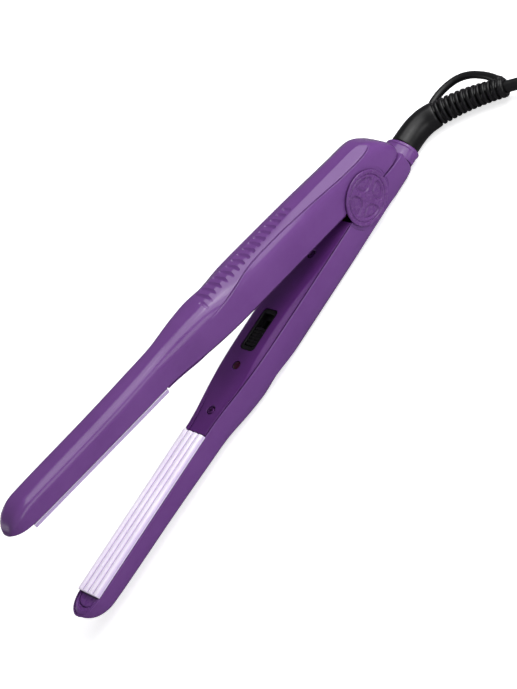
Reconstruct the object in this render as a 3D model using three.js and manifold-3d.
// Hair crimping iron: two spring-opened arms on a hinge pin, ribbed plates, slide switch and cord.
// Millimetres, +Z up. Design axes: hinge axis along Y through the origin, arms toward -X, cord
// toward +X. The lower arm lies below the closing plane z=0. The upper arm is built above it and
// turned open about the hinge. "Depth" is distance from the closing plane in either arm.
import * as THREE from "three";
import { mergeVertices } from "three/addons/utils/BufferGeometryUtils.js";
import Module from "manifold-3d";

const wasm = await Module();
wasm.setup();
const { degToRad, smoothstep } = THREE.MathUtils;

// ---- shared dimensions ----
const OPEN_ANGLE = degToRad(13.3); // relaxed opening between the arms
const ARM_DEPTH = 18.7; // closing plane to the flat outer face of the handle
const ORIGIN_SHIFT = new THREE.Vector3(42, 0, ARM_DEPTH); // puts the resting face at z=0
const WALL = 1.5; // housing wall
const GAP = 0.3; // clearance between neighbouring pieces
const TIP_X = -222;
const PIN_R = 2;
const CORD_Z = -12;
const CORD_R = 2.75;
const COLLAR_NECK_R = 4.2;
const SWITCH = { x: -75, length: 22, width: 8.6, travel: 7 };
const LED_X = -93.8;
// x, depth of the head seat in the cover, depth of the post top in the shell
const COVER_SCREWS = [
  { arm: "lower", place: "front", x: -116.4, seat: 3.0, postTop: 4.4 },
  { arm: "lower", place: "rear", x: -32.9, seat: 1.9, postTop: 4.0 },
  { arm: "upper", place: "front", x: -116.4, seat: 3.1, postTop: 5.0 },
  { arm: "upper", place: "rear", x: -32.9, seat: 2.3, postTop: 5.0 },
];

// ---- arm outline, as [x, value]: a common body, then a tail for each arm ----
const HALF_WIDTH = {
  body: [
    [-210, 6.95], [-200, 7.1], [-180, 7.15], [-160, 7.1], [-145, 7.0], [-135, 6.85],
    [-126, 6.75], [-117, 7.5], [-110, 8.6], [-102, 9.6], [-95, 10.3], [-85, 10.8],
    [-72, 10.95], [-55, 10.95], [-40, 10.9], [-20, 10.8], [0, 10.7], [15, 10.4],
  ],
  lower: [[15, 10.4], [22, 10.15], [26, 9.8], [27.6, 9.5], [28.3, 9.1]],
  upper: [[15, 10.4], [20, 10.1], [24, 9.3], [27, 7.9], [28.8, 6.0], [29.8, 3.8]],
};
const CROWN_DEPTH = {
  body: [
    [-207, 12.95], [-198, 13.25], [-184, 13.5], [-170, 13.75], [-155, 14.2], [-140, 14.9],
    [-126, 15.8], [-119, 16.4], [-111, 17.3], [-104, 17.95], [-96, 18.4],
    [-88, ARM_DEPTH], [-60, ARM_DEPTH], [2, ARM_DEPTH],
  ],
  lower: [[2, ARM_DEPTH], [22, ARM_DEPTH], [26, 18.4], [27.5, 17.9], [28.3, 17.3]],
  upper: [
    [2, ARM_DEPTH], [9, 18.65], [14, 18.0], [18, 16.4], [21, 14.4], [24, 11.9],
    [26.5, 9.3], [28.6, 6.5], [29.8, 4.6],
  ],
};
const RIM_DEPTH = {
  body: [
    [-222, 2.9], [-218, 2.3], [-213, 2.0], [-205, 2.0], [-135, 2.0], [-110, 1.6],
    [-95, 1.45], [10, 1.45],
  ],
  lower: [[10, 1.45], [13, 2.4], [28.3, 4.77]],
  upper: [[10, 1.45], [14, 1.1], [26.5, 2.1], [29.8, 3.2]],
};
// x of the loft sections of a housing
const BODY_STATIONS = [
  -221.7, -220.8, -219, -216.5, -213, -208.5, -200, -184, -166, -150, -138, -130, -124,
  -118, -112, -106, -100, -94, -88, -80, -68, -50, -30, -14, 0, 8,
];
const TAIL_STATIONS = {
  lower: [13, 17, 20.5, 23.5, 26, 27.5, 28.3],
  upper: [13, 17, 20.5, 23.5, 26, 27.8, 29, 29.8],
};
const CAVITY_STATIONS = [
  -219.6, -218, -215, -211, -205, -190, -160, -140, -128, -120, -112, -104, -96, -86, -60, -20, 8,
];

// Shape-preserving cubic through a table of [x, value], held constant beyond its ends.
function curve(table) {
  const last = table.length - 1;
  const widths = [];
  const secants = [];
  for (let i = 0; i < last; i++) {
    widths.push(table[i + 1][0] - table[i][0]);
    secants.push((table[i + 1][1] - table[i][1]) / widths[i]);
  }
  const slopes = new Array(last + 1).fill(0);
  slopes[0] = secants[0];
  slopes[last] = secants[last - 1];
  for (let i = 1; i < last; i++) {
    if (secants[i - 1] * secants[i] <= 0) continue;
    const before = 2 * widths[i] + widths[i - 1];
    const after = widths[i] + 2 * widths[i - 1];
    slopes[i] = (before + after) / (before / secants[i - 1] + after / secants[i]);
  }
  return (x) => {
    if (x <= table[0][0]) return table[0][1];
    if (x >= table[last][0]) return table[last][1];
    let i = 0;
    while (x > table[i + 1][0]) i++;
    const t = (x - table[i][0]) / widths[i];
    const u = 1 - t;
    return (1 + 2 * t) * u * u * table[i][1] + t * u * u * widths[i] * slopes[i]
      + t * t * (3 - 2 * t) * table[i + 1][1] - t * t * u * widths[i] * slopes[i + 1];
  };
}

// Value along an arm. The arm's name matters only in the tail.
function armCurve({ body, lower, upper }) {
  const bodyAt = curve(body);
  const tailAt = { lower: curve(lower), upper: curve(upper) };
  const tailX = lower[0][0];
  return (x, arm) => (x > tailX ? tailAt[arm](x) : bodyAt(x));
}
const rim = armCurve(RIM_DEPTH);
const widthBehindNose = armCurve(HALF_WIDTH);
const depthBehindNose = armCurve(CROWN_DEPTH);

// Superelliptic closing of the nose: 1 at startX, 0 at the tip.
const noseShare = (x, startX, power) =>
  Math.pow(Math.max(0, 1 - Math.pow((startX - x) / (startX - TIP_X), power)), 1 / power);

function halfWidth(x, arm) {
  const [startX, startWidth] = HALF_WIDTH.body[0];
  return x < startX ? startWidth * noseShare(x, startX, 2.3) : widthBehindNose(x, arm);
}

function crownDepth(x, arm) {
  const [startX, startDepth] = CROWN_DEPTH.body[0];
  return x < startX ? startDepth * noseShare(x, startX, 2) : depthBehindNose(x, arm);
}

// Handle contour from rim to crown: [share of half width, share of height above the rim]
const HANDLE_CONTOUR = [
  [1, 0], [1.005, 0.18], [0.985, 0.39], [0.955, 0.56],
  [0.91, 0.7], [0.845, 0.82], [0.67, 0.945], [0.43, 1],
];

// Outer contour on the +y side from rim to crown, as [y, depth]:
// a round-cornered box at the plates that blends into the handle contour.
function sidePoints(x, arm) {
  const width = halfWidth(x, arm);
  const rimDepth = rim(x, arm);
  const crown = Math.max(crownDepth(x, arm), rimDepth + 0.25);
  const height = crown - rimDepth;
  const blend = smoothstep(x, -140, -92);
  const radius = Math.min(4.6, width * 0.64, height * 0.45);
  const corner = (degrees) => [
    width - radius + radius * Math.cos(degToRad(degrees)),
    crown - radius + radius * Math.sin(degToRad(degrees)),
  ];
  const barrel = [
    [width, rimDepth],
    [width, rimDepth + (height - radius) * 0.5],
    ...[0, 20, 40, 60, 80].map(corner),
    [(width - radius) * 0.6, crown],
  ];
  return barrel.map(([y, depth], i) => {
    const handleY = HANDLE_CONTOUR[i][0] * width;
    const handleDepth = rimDepth + HANDLE_CONTOUR[i][1] * height;
    return [y + (handleY - y) * blend, depth + (handleDepth - depth) * blend];
  });
}

// ---- section and solid helpers ----
const section = (x, points, sign = 1) =>
  points.map(([y, depth]) => new THREE.Vector3(x, y, sign * depth));
const mirrored = (points) => points.slice().reverse().map(([y, depth]) => [-y, depth]);
const armRing = (x, side, sign) => section(x, [...side, ...mirrored(side)], sign);

// Ear clipping that keeps every contour vertex, also where neighbours are in line.
function capTriangles(ring) {
  const normal = new THREE.Vector3();
  ring.forEach((point, i) => {
    normal.add(new THREE.Vector3().crossVectors(point, ring[(i + 1) % ring.length]));
  });
  const [nx, ny, nz] = normal.toArray().map(Math.abs);
  const [across, along] = nx >= ny && nx >= nz ? ["y", "z"] : ny >= nz ? ["z", "x"] : ["x", "y"];
  const flat = ring.map((point) => new THREE.Vector2(point[across], point[along]));
  const turn = THREE.ShapeUtils.area(flat) > 0 ? 1 : -1;
  const area = (a, b, c) => turn * ((b.x - a.x) * (c.y - a.y) - (b.y - a.y) * (c.x - a.x));
  const left = ring.map((_, i) => i);
  const cornerAt = (i) => [
    left[(i + left.length - 1) % left.length], left[i], left[(i + 1) % left.length],
  ];
  const triangles = [];
  while (left.length > 2) {
    let best = 0;
    let bestQuality = -Infinity;
    for (let i = 0; i < left.length; i++) {
      const corner = cornerAt(i);
      const [a, b, c] = corner.map((k) => flat[k]);
      const size = area(a, b, c);
      if (left.length > 3 && size < 1e-9) continue;
      const covers = (p) => area(a, b, p) >= -1e-9 && area(b, c, p) >= -1e-9 && area(c, a, p) >= -1e-9;
      if (left.some((k) => !corner.includes(k) && covers(flat[k]))) continue;
      const edges = a.distanceToSquared(b) + b.distanceToSquared(c) + c.distanceToSquared(a);
      if (size / edges > bestQuality) [best, bestQuality] = [i, size / edges];
    }
    triangles.push(cornerAt(best));
    left.splice(best, 1);
  }
  return triangles;
}

// Manifold solid from a closed geometry facing either way.
function solid(geometry) {
  const bare = geometry.clone();
  bare.deleteAttribute("normal");
  bare.deleteAttribute("uv");
  const merged = mergeVertices(bare, 1e-4);
  const position = merged.attributes.position;
  const triangles = [];
  for (let i = 0; i < merged.index.count; i += 3) {
    const corners = [0, 1, 2].map((k) => merged.index.getX(i + k));
    if (new Set(corners).size === 3) triangles.push(...corners);
  }
  let volume = 0;
  for (let i = 0; i < triangles.length; i += 3) {
    const [a, b, c] = [0, 1, 2].map((k) =>
      new THREE.Vector3().fromBufferAttribute(position, triangles[i + k]));
    volume += a.dot(b.cross(c));
  }
  if (volume < 0) {
    for (let i = 0; i < triangles.length; i += 3) {
      [triangles[i + 1], triangles[i + 2]] = [triangles[i + 2], triangles[i + 1]];
    }
  }
  return new wasm.Manifold(new wasm.Mesh({
    numProp: 3,
    vertProperties: new Float32Array(position.array),
    triVerts: new Uint32Array(triangles),
  }));
}

// Solid through rings of equally many points, with flat ends.
function loft(rings) {
  const count = rings[0].length;
  const index = [];
  for (let i = 0; i < rings.length - 1; i++) {
    for (let j = 0; j < count; j++) {
      const a = i * count + j;
      const b = i * count + ((j + 1) % count);
      index.push(a, b, b + count, a, b + count, a + count);
    }
  }
  const endBase = (rings.length - 1) * count;
  capTriangles(rings[0]).forEach((corners) => index.push(...corners.reverse()));
  capTriangles(rings.at(-1)).forEach((corners) => index.push(...corners.map((k) => endBase + k)));
  const positions = rings.flat().flatMap((point) => point.toArray());
  const geometry = new THREE.BufferGeometry();
  geometry.setAttribute("position", new THREE.Float32BufferAttribute(positions, 3));
  geometry.setIndex(index);
  return solid(geometry);
}

// Each argument of box is a [from, to] range.
const box = ([x0, x1], [y0, y1], [z0, z1]) =>
  solid(new THREE.BoxGeometry(x1 - x0, y1 - y0, Math.abs(z1 - z0))
    .translate((x0 + x1) / 2, (y0 + y1) / 2, (z0 + z1) / 2));
const around = (centre, half) => [centre - half, centre + half];
const discY = (radius, y0, y1, segments = 32) =>
  solid(new THREE.CylinderGeometry(radius, radius, y1 - y0, segments)
    .translate(0, (y0 + y1) / 2, 0));
const rodZ = (radius, z0, z1, x, segments = 16) =>
  solid(new THREE.CylinderGeometry(radius, radius, Math.abs(z1 - z0), segments)
    .rotateX(Math.PI / 2).translate(x, 0, (z0 + z1) / 2));
const rodX = (radius, x0, x1, z) =>
  solid(new THREE.CylinderGeometry(radius, radius, x1 - x0, 20)
    .rotateZ(Math.PI / 2).translate((x0 + x1) / 2, 0, z));
// Makes a piece spanning y from inner to outer, and its counterpart at -y.
const bothSides = (inner, outer, make) => make(inner, outer).add(make(-outer, -inner));

// Profile of [radius, height along Y]
const lathe = (profile, segments) =>
  new THREE.LatheGeometry(profile.map(([r, h]) => new THREE.Vector2(r, h)), segments);
// Turned about an axis along X at (y, z), from a profile of [radius, x] that closes on itself
const turnedX = (profile, y, z, segments) =>
  solid(lathe([...profile, profile[0]], segments).rotateZ(-Math.PI / 2).translate(0, y, z));

// Round-cornered pad, upright between z0 and z1
function padZ(length, width, radius, x, z0, z1) {
  const shape = new THREE.Shape();
  const endX = length / 2;
  const endY = width / 2;
  const quarter = Math.PI / 2;
  shape.moveTo(-endX + radius, -endY);
  shape.lineTo(endX - radius, -endY);
  shape.absarc(endX - radius, -endY + radius, radius, -quarter, 0);
  shape.lineTo(endX, endY - radius);
  shape.absarc(endX - radius, endY - radius, radius, 0, quarter);
  shape.lineTo(-endX + radius, endY);
  shape.absarc(-endX + radius, endY - radius, radius, quarter, 2 * quarter);
  shape.lineTo(-endX, -endY + radius);
  shape.absarc(-endX + radius, -endY + radius, radius, 2 * quarter, 3 * quarter);
  const options = { depth: z1 - z0, bevelEnabled: false, curveSegments: 4 };
  return solid(new THREE.ExtrudeGeometry(shape, options).translate(x, 0, z0));
}

const smoothPath = (points) =>
  new THREE.CatmullRomCurve3(points.map((p) => new THREE.Vector3(...p)), false, "centripetal");
const levelSide = (tangent) => new THREE.Vector3(-tangent.y, tangent.x, 0).normalize();

// Round sweep. Stations are [share of path length, radius]; lift moves the sweep off its path
// along the frame's up vector.
function sweep(points, stations, sides, { lift = 0, sideOf = levelSide } = {}) {
  const path = smoothPath(points);
  return loft(stations.map(([share, radius]) => {
    const tangent = path.getTangentAt(share);
    const side = sideOf(tangent);
    const up = new THREE.Vector3().crossVectors(tangent, side);
    const centre = path.getPointAt(share).addScaledVector(up, lift);
    return Array.from({ length: sides }, (_, k) => {
      const angle = (2 * Math.PI * k) / sides;
      return centre.clone()
        .addScaledVector(side, radius * Math.cos(angle))
        .addScaledVector(up, radius * Math.sin(angle));
    });
  }));
}
const evenStations = (steps, radiusAt) =>
  Array.from({ length: steps + 1 }, (_, i) => [i / steps, radiusAt(i / steps)]);
const wire = (points, radius, sides, steps, options) =>
  sweep(points, evenStations(steps, () => radius), sides, options);

// ---- finishes ----
const FINISH = {
  shell: { color: "#6f4787", roughness: 0.42 },
  shellTop: { color: "#76508a", roughness: 0.45 },
  inner: { color: "#4a2560", roughness: 0.5 },
  plate: { color: "#e8def2", roughness: 0.25, metalness: 0.7 },
  rubber: { color: "#232325", roughness: 0.6 },
  switch: { color: "#121214", roughness: 0.35 },
  steel: { color: "#b9bcc2", roughness: 0.3, metalness: 1 },
  ceramic: { color: "#d8d2c4", roughness: 0.7 },
  film: { color: "#b5762a", roughness: 0.5 },
  board: { color: "#2f6b3c", roughness: 0.6 },
  lens: { color: "#5a1026", roughness: 0.15 },
  lamp: { color: "#d8563c", roughness: 0.3 },
  brown: { color: "#6b3f22", roughness: 0.5 },
  blue: { color: "#2c4f9a", roughness: 0.5 },
};

const root = new THREE.Group();
root.position.copy(ORIGIN_SHIFT);
const upperArm = new THREE.Group();
upperArm.rotation.y = OPEN_ANGLE;
root.add(upperArm);
const GROUP = { lower: root, upper: upperArm };
const SIGN = { lower: -1, upper: 1 }; // side of the closing plane

function add(group, name, piece, finish) {
  const { vertProperties, triVerts } = piece.getMesh();
  const geometry = new THREE.BufferGeometry();
  geometry.setAttribute("position", new THREE.BufferAttribute(new Float32Array(vertProperties), 3));
  geometry.setIndex(new THREE.BufferAttribute(new Uint32Array(triVerts), 1));
  const mesh = new THREE.Mesh(geometry, new THREE.MeshStandardMaterial(finish));
  mesh.name = name;
  group.add(mesh);
}

// ---- housings ----
const EAR = { radius: 11.6, inner: 8.9, outer: 10.6 }; // lower shell discs beside the hinge
const POCKET = { radius: 12.0, inner: 8.6 }; // room for the ears in the upper shell
const LUG = { radius: 5, inner: 6.4, outer: 8.3, top: 15.8 }; // upper shell pin bearings
const CAP_RECESS = { radius: 14.6, inner: 10.25 };
const GROOVE = { firstX: -90, pitch: 3.8, count: 16, width: 1.5, depth: 0.45 };
const GROOVE_HALF_LENGTH = { first: 7.6, last: 2.4 };

// Outer loft hollowed to the wall thickness, open toward the closing plane
function housing(arm) {
  const sign = SIGN[arm];
  const stations = [...BODY_STATIONS, ...TAIL_STATIONS[arm]];
  const outer = loft(stations.map((x) => armRing(x, sidePoints(x, arm), sign)));
  const cavity = loft(CAVITY_STATIONS.map((x) => {
    const side = sidePoints(x, arm);
    const width = side[0][0];
    const crown = side.at(-1)[1];
    const scaleY = Math.max(0.2, (width - WALL) / width);
    const scaleDepth = (crown - WALL) / crown;
    const inner = side
      .filter((_, i) => i !== 1)
      .map(([y, depth], i) => [y * scaleY, i === 0 ? -4 : depth * scaleDepth]);
    return armRing(x, inner, sign);
  }));
  return outer.subtract(cavity);
}

function withScrewPosts(shell, arm) {
  const sign = SIGN[arm];
  for (const { x, postTop } of COVER_SCREWS.filter((entry) => entry.arm === arm)) {
    shell = shell
      .add(rodZ(2.7, sign * postTop, sign * (crownDepth(x, arm) - 0.6), x))
      .subtract(rodZ(1.15, sign * (postTop - 1), sign * (postTop + 8), x, 10));
  }
  return shell;
}

const capRecesses = bothSides(CAP_RECESS.inner, 14, (y0, y1) => discY(CAP_RECESS.radius, y0, y1, 40));
const pinHole = discY(PIN_R + GAP, -12, 12, 24);

function lowerShell() {
  const ears = bothSides(EAR.inner, EAR.outer, (y0, y1) => discY(EAR.radius, y0, y1));
  return withScrewPosts(housing("lower").add(ears), "lower")
    .subtract(pinHole)
    .subtract(capRecesses)
    .subtract(rodX(COLLAR_NECK_R + GAP, 6, 30, CORD_Z));
}
add(root, "lower_shell", lowerShell(), FINISH.shell);

function upperShell() {
  const pockets = bothSides(POCKET.inner, 13, (y0, y1) => discY(POCKET.radius, y0, y1));
  const lugs = bothSides(LUG.inner, LUG.outer, (y0, y1) =>
    discY(LUG.radius, y0, y1, 24).add(box(around(0, LUG.radius), [y0, y1], [0.2, LUG.top])));
  let shell = housing("upper").subtract(pockets).subtract(capRecesses).add(lugs);
  shell = withScrewPosts(shell, "upper").subtract(pinHole);
  // grooves across the handle, shorter toward the hinge; long ones are cut deeper
  const { first, last } = GROOVE_HALF_LENGTH;
  for (let i = 0; i < GROOVE.count; i++) {
    const x = GROOVE.firstX + i * GROOVE.pitch;
    const half = first - (i * (first - last)) / (GROOVE.count - 1);
    const floor = crownDepth(x, "upper") - GROOVE.depth - Math.max(0, half - 5) * 0.38;
    shell = shell.subtract(box(around(x, GROOVE.width / 2), around(0, half), [floor, 24]));
  }
  return shell;
}
add(upperArm, "upper_shell", upperShell(), FINISH.shellTop);

// ---- inner covers ----
const COVER_STATIONS = [
  -128.2, -122, -116, -110, -104, -98, -92, -85, -78, -70, -62, -54, -46, -38, -28, -20, -13.5,
];
// z of the raised face of the lower cover, as [x, z]
const faceHeight = curve([
  [-128, -2.1], [-116, -1.7], [-105, -0.75], [-94, 0.1], [-86, 0.6], [-75, 0.85],
  [-64, 0.75], [-50, 0.25], [-38, -0.3], [-20, -0.6], [-13, -0.65],
]);
// distance of that face's edge from the side of the arm, as [x, inset]
const faceInset = curve([
  [-128, 0.8], [-104, 0.9], [-95, 1.5], [-85, 2.3], [-72, 2.6], [-58, 2.3],
  [-45, 1.5], [-36, 1.0], [-13, 0.8],
]);
const coverHalfWidth = (x) => halfWidth(x) - 0.12;

// Section from a half face of [y, depth], centre to edge, and the depth of the cover's inside
function coverRing(x, sign, face, insideDepth) {
  const seatDepth = rim(x) - GAP;
  const innerY = halfWidth(x) - WALL - 0.45;
  const inside = [[coverHalfWidth(x), seatDepth], [innerY, seatDepth], [innerY, insideDepth]];
  return section(x, [...mirrored(face), ...face, ...inside, ...mirrored(inside)], sign);
}

function withScrewHoles(cover, arm) {
  const sign = SIGN[arm];
  for (const { x, seat } of COVER_SCREWS.filter((entry) => entry.arm === arm)) {
    cover = cover
      .subtract(rodZ(2.1, -sign * 4, sign * seat, x, 18))
      .subtract(rodZ(1.3, -sign * 4, sign * 8, x, 12));
  }
  return cover;
}

function lowerCover() {
  const cover = loft(COVER_STATIONS.map((x) => {
    const edge = halfWidth(x) - faceInset(x);
    const depth = -faceHeight(x);
    const face = [[edge * 0.5, depth], [edge, depth + 0.12], [coverHalfWidth(x), rim(x) - 0.85]];
    return coverRing(x, -1, face, Math.max(rim(x) + 1.3, depth + 1.4));
  }))
    .subtract(padZ(SWITCH.length, SWITCH.width + 2 * GAP, 2.2, SWITCH.x, -8, 4))
    .subtract(rodZ(2.15, -8, 4, LED_X, 18));
  return withScrewHoles(cover, "lower");
}
add(root, "lower_inner_cover", lowerCover(), FINISH.inner);

// Lofted from the hinge end toward the tip
function upperCover() {
  const cover = loft(COVER_STATIONS.slice().reverse().map((x) => {
    const width = halfWidth(x);
    const depth = Math.max(rim(x) - 0.85, 0.6) + 0.9 * smoothstep(x, -112, -98);
    const edgeDepth = Math.min(rim(x) - GAP - 0.15, depth);
    const face = [[width * 0.4, depth], [width * 0.82, depth], [coverHalfWidth(x), edgeDepth]];
    return coverRing(x, 1, face, Math.max(depth + 1.3, rim(x) + 1.5));
  }));
  return withScrewHoles(cover, "upper");
}
add(upperArm, "upper_inner_cover", upperCover(), FINISH.inner);

// Pan-head self-tapping screw with a cross slot; the shank points away from the closing plane.
function coverScrew(x, headDepth, sign) {
  const underside = sign * headDepth;
  const top = underside - sign * 1.1;
  const slotZ = [top - sign * 0.1, top + sign * 0.6];
  const [long, short] = [1.1, 0.22];
  return rodZ(1.75, underside, top, x, 12)
    .add(rodZ(0.85, underside - sign * 0.2, underside + sign * 6.5, x, 8))
    .subtract(box(around(x, long), around(0, short), slotZ))
    .subtract(box(around(x, short), around(0, long), slotZ));
}
for (const { arm, place, x, seat } of COVER_SCREWS) {
  const screw = coverScrew(x, seat - 0.05, SIGN[arm]);
  add(GROUP[arm], `${arm}_cover_screw_${place}`, screw, FINISH.steel);
}

// ---- nose covers in front of the plates ----
// x, extra depth of the face
const NOSE_STATIONS = [[-219.2, 0], [-218, 0], [-216, 0], [-213.8, 0], [-211.9, 0.6]];
const NOSE_INSIDE = 4.9;

function noseCover(sign) {
  return loft(NOSE_STATIONS.map(([x, extra]) => {
    const y = Math.max(1.2, halfWidth(x) - WALL - 0.35);
    const face = rim(x) + 0.25 + extra;
    const inside = [[y * 0.94, NOSE_INSIDE], [-y * 0.94, NOSE_INSIDE]];
    return section(x, [[-y, face], [y, face], ...inside], sign);
  }));
}
add(root, "lower_nose_cover", noseCover(-1), FINISH.inner);
add(upperArm, "upper_nose_cover", noseCover(1), FINISH.inner);

// ---- crimping plates: lengthwise ridges that nest when the arms close ----
const RIDGE = { pitch: 3.3, amplitude: 0.6 };
const PLATE = {
  ends: [-211.5, -129], half: 2 * RIDGE.pitch, ledge: 1.7, footHalf: 5.1, foot: 4.0, gap: 0.5,
};

function crimpPlate(sign) {
  const { half, footHalf } = PLATE;
  const ledge = sign * PLATE.ledge;
  const foot = sign * PLATE.foot;
  const steps = 32;
  const points = [];
  for (let i = 0; i <= steps; i++) {
    const y = -half + (2 * half * i) / steps;
    const wave = RIDGE.amplitude * Math.cos((2 * Math.PI * y) / RIDGE.pitch);
    points.push([y, (sign * PLATE.gap) / 2 - wave]);
  }
  points.push([half, ledge], [footHalf, ledge], [footHalf, foot]);
  points.push([-footHalf, foot], [-footHalf, ledge], [-half, ledge]);
  return loft(PLATE.ends.map((x) => section(x, points)));
}
add(root, "lower_crimp_plate", crimpPlate(-1), FINISH.plate);
add(upperArm, "upper_crimp_plate", crimpPlate(1), FINISH.plate);

// ---- heating: bar on the plate, waved leaf spring, heat-proof tray, thermal fuse ----
const HEATER = { half: 4.6, near: 4.3, far: 6.8 };
const HEATER_STATIONS = [[-206, 0.4], [-204.6, 0], [-136.4, 0], [-135, 0.4]]; // x, inset all round
const LEAF = {
  startX: -202, length: 64, steps: 24, waveSteps: 8,
  depth: 8.0, amplitude: 0.75, thickness: 0.4, half: 3,
};
const TRAY = { ends: [-207, -134], half: 4.1, mouth: 7.3, floor: 10.2, wall: 0.6 };
// radius, x
const FUSE_PROFILE = [
  [0, -132.5], [0.4, -132.5], [0.4, -111.5], [1.6, -111], [1.6, -101.5], [0.4, -101],
  [0.4, -97], [0, -97],
];
const FUSE_Y = -3.7;
const FUSE_DEPTH = 9;

function heater(sign) {
  return loft(HEATER_STATIONS.map(([x, inset]) => {
    const y = HEATER.half - inset;
    const near = HEATER.near + inset;
    const far = HEATER.far - inset;
    return section(x, [[-y, near], [y, near], [y, far], [-y, far]], sign);
  }));
}

function leafSpring(sign) {
  const near = [];
  for (let i = 0; i <= LEAF.steps; i++) {
    const wave = LEAF.amplitude * Math.cos((2 * Math.PI * i) / LEAF.waveSteps);
    near.push([LEAF.startX + (LEAF.length * i) / LEAF.steps, LEAF.depth - wave]);
  }
  const far = near.slice().reverse().map(([x, depth]) => [x, depth + LEAF.thickness]);
  const loop = [...near, ...far];
  return loft(around(0, LEAF.half).map((y) =>
    loop.map(([x, depth]) => new THREE.Vector3(x, y, sign * depth))));
}

function tray(sign) {
  const { half, mouth, floor, wall } = TRAY;
  const inner = half - wall;
  const points = [
    [-half, mouth], [-half, floor], [half, floor], [half, mouth],
    [inner, mouth], [inner, floor - wall], [-inner, floor - wall], [-inner, mouth],
  ];
  return loft(TRAY.ends.map((x) => section(x, points, sign)));
}

for (const arm of ["lower", "upper"]) {
  const sign = SIGN[arm];
  const fuse = turnedX(FUSE_PROFILE, FUSE_Y, sign * FUSE_DEPTH, 8);
  add(GROUP[arm], `${arm}_heater`, heater(sign), FINISH.film);
  add(GROUP[arm], `${arm}_heater_spring`, leafSpring(sign), FINISH.steel);
  add(GROUP[arm], `${arm}_heater_tray`, tray(sign), FINISH.ceramic);
  add(GROUP[arm], `${arm}_thermal_fuse`, fuse, FINISH.ceramic);
}

// ---- slide switch, button at the tip end of its travel ----
function switchBody() {
  const { x, length, width } = SWITCH;
  return padZ(length - 2 * GAP, width, 2, x, -4, 0.45)
    .add(box(around(x, 12.5), around(0, 5.6), [-10.5, -3.4]))
    .subtract(padZ(17.4, 6.4, 1.2, x, -1.7, 2))
    .subtract(box(around(x, 6.2), around(0, 1.6), [-5, 0]));
}
add(root, "switch_body", switchBody(), FINISH.switch);

function switchButton() {
  const x = SWITCH.x - SWITCH.travel / 2;
  const groovePitch = 1.6;
  let button = padZ(9.6, 5.8, 1, x, -1.4, 0.25).add(box(around(x, 2), around(0, 1.2), [-4.6, -1]));
  for (let i = -2; i <= 2; i++) {
    button = button.subtract(box(around(x + i * groovePitch, 0.35), around(0, 4), [-0.2, 1]));
  }
  return button;
}
add(root, "switch_button", switchButton(), FINISH.switch);

// ---- indicator ----
// radius, z
const LENS_PROFILE = [
  [0, -3.8], [2.6, -3.8], [2.6, -3.15], [1.85, -3.15], [1.85, 0.0], [1.3, 0.32], [0, 0.45],
];
const lens = solid(lathe(LENS_PROFILE, 16).rotateX(Math.PI / 2).translate(LED_X, 0, 0))
  .subtract(rodZ(1.2, -5, -1.6, LED_X, 10));
add(root, "indicator_lens", lens, FINISH.lens);
add(root, "indicator_lamp", rodZ(0.9, -5.2, -1.9, LED_X, 10), FINISH.lamp);
const indicatorBoard = box(around(LED_X, 5.2), around(0, 4.5), [-6.9, -5.5]);
add(root, "indicator_board", indicatorBoard, FINISH.board);

// ---- hinge ----
add(root, "hinge_pin", discY(PIN_R, -10.2, 10.2, 24), FINISH.steel);

const CAP = { radius: 12.8, inner: 10.55, outer: 11.5 };
const CAP_POCKET = { count: 4, outerR: 9.4, innerR: 3.6, margin: 0.24, taper: 0.3, turn: 0.35 };

// Disc on the +Y side with a ring groove and four shallow pockets in its outer face
function hingeCap() {
  const { radius, inner, outer } = CAP;
  const profile = [
    [0, inner], [radius - 0.5, inner], [radius, inner + 0.35], [radius, outer - 0.35],
    [radius - 0.35, outer], [radius - 1.5, outer], [radius - 1.9, outer - 0.4],
    [radius - 2.3, outer - 0.05], [0, outer - 0.05],
  ];
  let cap = solid(lathe(profile, 32));
  const { count, outerR, innerR, margin, taper, turn } = CAP_POCKET;
  const step = (2 * Math.PI) / count;
  const pocket = new THREE.Shape();
  pocket.absarc(0, 0, outerR, margin, step - margin, false);
  pocket.absarc(0, 0, innerR, step - margin - taper, margin + taper, true);
  const options = { depth: 2, bevelEnabled: false, curveSegments: 4 };
  for (let k = 0; k < count; k++) {
    cap = cap.subtract(solid(new THREE.ExtrudeGeometry(pocket, options)
      .rotateX(-Math.PI / 2).translate(0, outer - 0.45, 0).rotateY(k * step + turn)));
  }
  return cap;
}
add(root, "hinge_cap_left", hingeCap(), FINISH.shell);
add(root, "hinge_cap_right", hingeCap().rotate([0, 0, 180]), FINISH.shell);

// Coils round the pin, one leg toward the tips and one leaving along the coil's tangent
const COIL = { turns: 3.35, radius: 3.55, startY: -2.3, length: 4.6, steps: 40, wireR: 0.45 };

function openingSpring() {
  const { turns, radius, startY, length, steps, wireR } = COIL;
  const startAngle = -Math.PI / 2;
  const endAngle = startAngle + turns * 2 * Math.PI;
  const endLeg = 2.6;
  const points = [[-7.5, -2.5, -radius - 0.1], [-4, -2.5, -radius - 0.05]];
  for (let i = 0; i <= steps; i++) {
    const angle = startAngle + (i / steps) * turns * 2 * Math.PI;
    points.push([radius * Math.cos(angle), startY + (length * i) / steps, radius * Math.sin(angle)]);
  }
  points.push([
    radius * Math.cos(endAngle) - endLeg * Math.sin(endAngle),
    2.4,
    radius * Math.sin(endAngle) + endLeg * Math.cos(endAngle),
  ]);
  const sideOf = (tangent) =>
    new THREE.Vector3(0, 1, 0).addScaledVector(tangent, -tangent.y).normalize();
  return wire(points, wireR, 5, 60, { sideOf });
}
add(root, "opening_spring", openingSpring(), FINISH.steel);

// ---- cord exit ----
const COLLAR = { half: 8.75, halfHeight: 6.35, sides: 28 };
const COLLAR_STATIONS = [[28.6, 0], [33.4, 0], [33.9, 0.25], [34.7, 0.25], [35, 0]]; // x, flare
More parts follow.
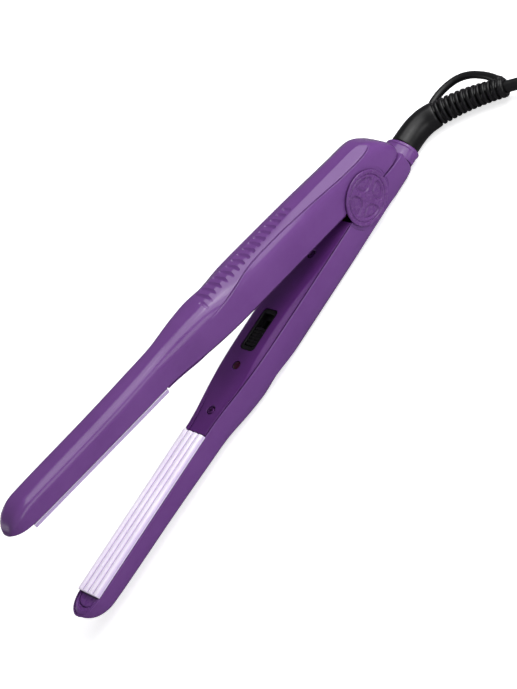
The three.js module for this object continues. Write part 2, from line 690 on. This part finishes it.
// Bore with a wider groove for the boot's flange: radius, x
const COLLAR_BORE = [
  [0, 20], [3.15, 20], [3.15, 30.3], [5.5, 30.3], [5.5, 33.4], [4.9, 33.4], [4.9, 36], [0, 36],
];

function cordCollar() {
  const { half, halfHeight, sides } = COLLAR;
  return loft(COLLAR_STATIONS.map(([x, flare]) => Array.from({ length: sides }, (_, k) => {
    const angle = (2 * Math.PI * k) / sides;
    const y = (half + flare) * Math.cos(angle);
    return new THREE.Vector3(x, y, CORD_Z + (halfHeight + flare) * Math.sin(angle));
  })))
    .add(rodX(COLLAR_NECK_R, 21.5, 29, CORD_Z))
    .subtract(turnedX(COLLAR_BORE, 0, CORD_Z, 20));
}
add(root, "cord_collar", cordCollar(), FINISH.shell);

const atCordHeight = (points) => points.map(([x, y]) => [x, y, CORD_Z]);
const CORD_PATH = atCordHeight([
  [15, 0], [22, 0], [30.7, 0], [36, -0.1], [41, -0.2], [46, -0.7], [51, -2.4], [55.5, -5.7],
  [60.1, -10.3], [64.9, -15.8], [69.1, -21.6], [72.8, -27.4], [76, -33.2], [79, -39],
  [81.3, -45], [83, -52], [84, -60],
]);
// Loop standing off the side of the boot
const LOOP_PATH = atCordHeight([
  [54.8, -2.4], [60.6, -0.3], [66.1, -0.5], [71.8, -2.4], [76.2, -5.6], [78.9, -10.6],
  [79.9, -16.6], [79.9, -22.3], [79.3, -26.4], [78.7, -29.3],
]);
// Places on the boot are arc lengths along the cord from its inner end.
const BOOT = { start: 15.6, flange: 2.4, stub: 20.3 };
const BOOT_RIBS = { start: 42.5, pitch: 2.6, count: 13, firstR: 5.95, lastR: 4.7 };

// Flange held in the collar, neck, smooth stub, ribbed sleeve and side loop
function cordBoot() {
  const { start, flange, stub } = BOOT;
  const { pitch, count, firstR, lastR } = BOOT_RIBS;
  const ribsEnd = BOOT_RIBS.start + count * pitch;
  const end = ribsEnd + 1.2;
  // arc length, radius
  const stations = [
    [start, 5.2], [start + flange, 5.2], [start + flange, 4.6], [stub, 4.6],
    [stub, 6.35], [stub + 0.3, 6.5], [26, 6.45], [31, 6.4], [36, 6.3], [40, 6.2],
    [BOOT_RIBS.start - 0.6, 6.05],
  ];
  for (let i = 0; i < count; i++) {
    const at = BOOT_RIBS.start + i * pitch;
    const r = firstR - ((firstR - lastR) * i) / (count - 1);
    stations.push([at, r - 1.0], [at + 1.1, r - 1.0], [at + 1.2, r], [at + pitch - 0.15, r]);
  }
  stations.push([ribsEnd, 4.5], [end - 0.4, 4.5], [end, 4.1]);
  const cordLength = smoothPath(CORD_PATH).getLength();
  const asShares = (list) => list.map(([at, radius]) => [at / cordLength, radius]);
  const loopRadius = (t) => 1.6 + 0.8 * Math.pow(Math.abs(2 * t - 1), 8);
  const bore = evenStations(12, () => CORD_R + GAP)
    .map(([t, radius]) => [start - 1 + (end - start + 2) * t, radius]);
  return sweep(CORD_PATH, asShares(stations), 12)
    .add(sweep(LOOP_PATH, evenStations(16, loopRadius), 6))
    .subtract(sweep(CORD_PATH, asShares(bore), 8));
}
add(root, "cord_boot", cordBoot(), FINISH.rubber);

const CORE_LIFT = 1.25; // each core above or below the cord axis
const CORE_R = 0.85;
// The cord path with its two end points replaced
const cordPathBetween = (startX, endX, endY) =>
  [[startX, 0, CORD_Z], ...CORD_PATH.slice(1, -1), [endX, endY, CORD_Z]];

function powerCord() {
  const borePath = cordPathBetween(14, 84.1, -61.2);
  let jacket = wire(CORD_PATH, CORD_R, 8, 20);
  for (const lift of [-CORE_LIFT, CORE_LIFT]) {
    jacket = jacket.subtract(wire(borePath, CORE_R + 0.35, 6, 20, { lift }));
  }
  return jacket;
}
const cordCore = (lift) => wire(cordPathBetween(11.5, 84.4, -64), CORE_R, 5, 20, { lift });
add(root, "power_cord", powerCord(), FINISH.rubber);
add(root, "cord_core_live", cordCore(CORE_LIFT), FINISH.brown);
add(root, "cord_core_neutral", cordCore(-CORE_LIFT), FINISH.blue);

// ---- leads inside the arms ----
const LEAD_R = 0.8;
// group, name, finish, sweep steps, path
const LEADS = [
  [root, "supply_lead_live", FINISH.brown, 16, [
    [11, 0, CORD_Z + CORE_LIFT], [4, 1, -9.6], [-10, 3, -8.2], [-24, 5.2, -8], [-40, 5, -8],
    [-54, 2.6, -8.4], [-62.2, 2, -8.4],
  ]],
  [root, "supply_lead_neutral", FINISH.blue, 16, [
    [11, 0, CORD_Z - CORE_LIFT], [4, -1.2, -13.2], [-10, -4, -13], [-30, -5.4, -13],
    [-60, -5.2, -13], [-80, -5, -13], [-89, -4.8, -12.4], [-95.9, -3.7, -9.1],
  ]],
  [root, "switched_lead", FINISH.brown, 14, [
    [-87.8, 2, -8.6], [-93, 4.4, -9.2], [-104, 5.0, -9.4], [-116, 4.6, -8.8],
    [-127, 3, -7.2], [-134.6, 2, -5.6],
  ]],
  [upperArm, "upper_lead_live", FINISH.brown, 20, [
    [-6, 4, 6.5], [-20, 5.4, 8], [-34, 5.4, 9], [-60, 4.6, 9], [-96, 4.8, 9],
    [-116, 4.7, 8.6], [-127, 3, 7.2], [-134.6, 2, 5.6],
  ]],
  [upperArm, "upper_lead_neutral", FINISH.blue, 14, [
    [-6, -4, 6.5], [-20, -5.4, 8], [-34, -5.4, 9], [-60, -4.6, 9], [-80, -4.4, 9],
    [-95.9, -3.7, 9],
  ]],
];
for (const [group, name, finish, steps, path] of LEADS) {
  add(group, name, wire(path, LEAD_R, 6, steps), finish);
}

export default root;
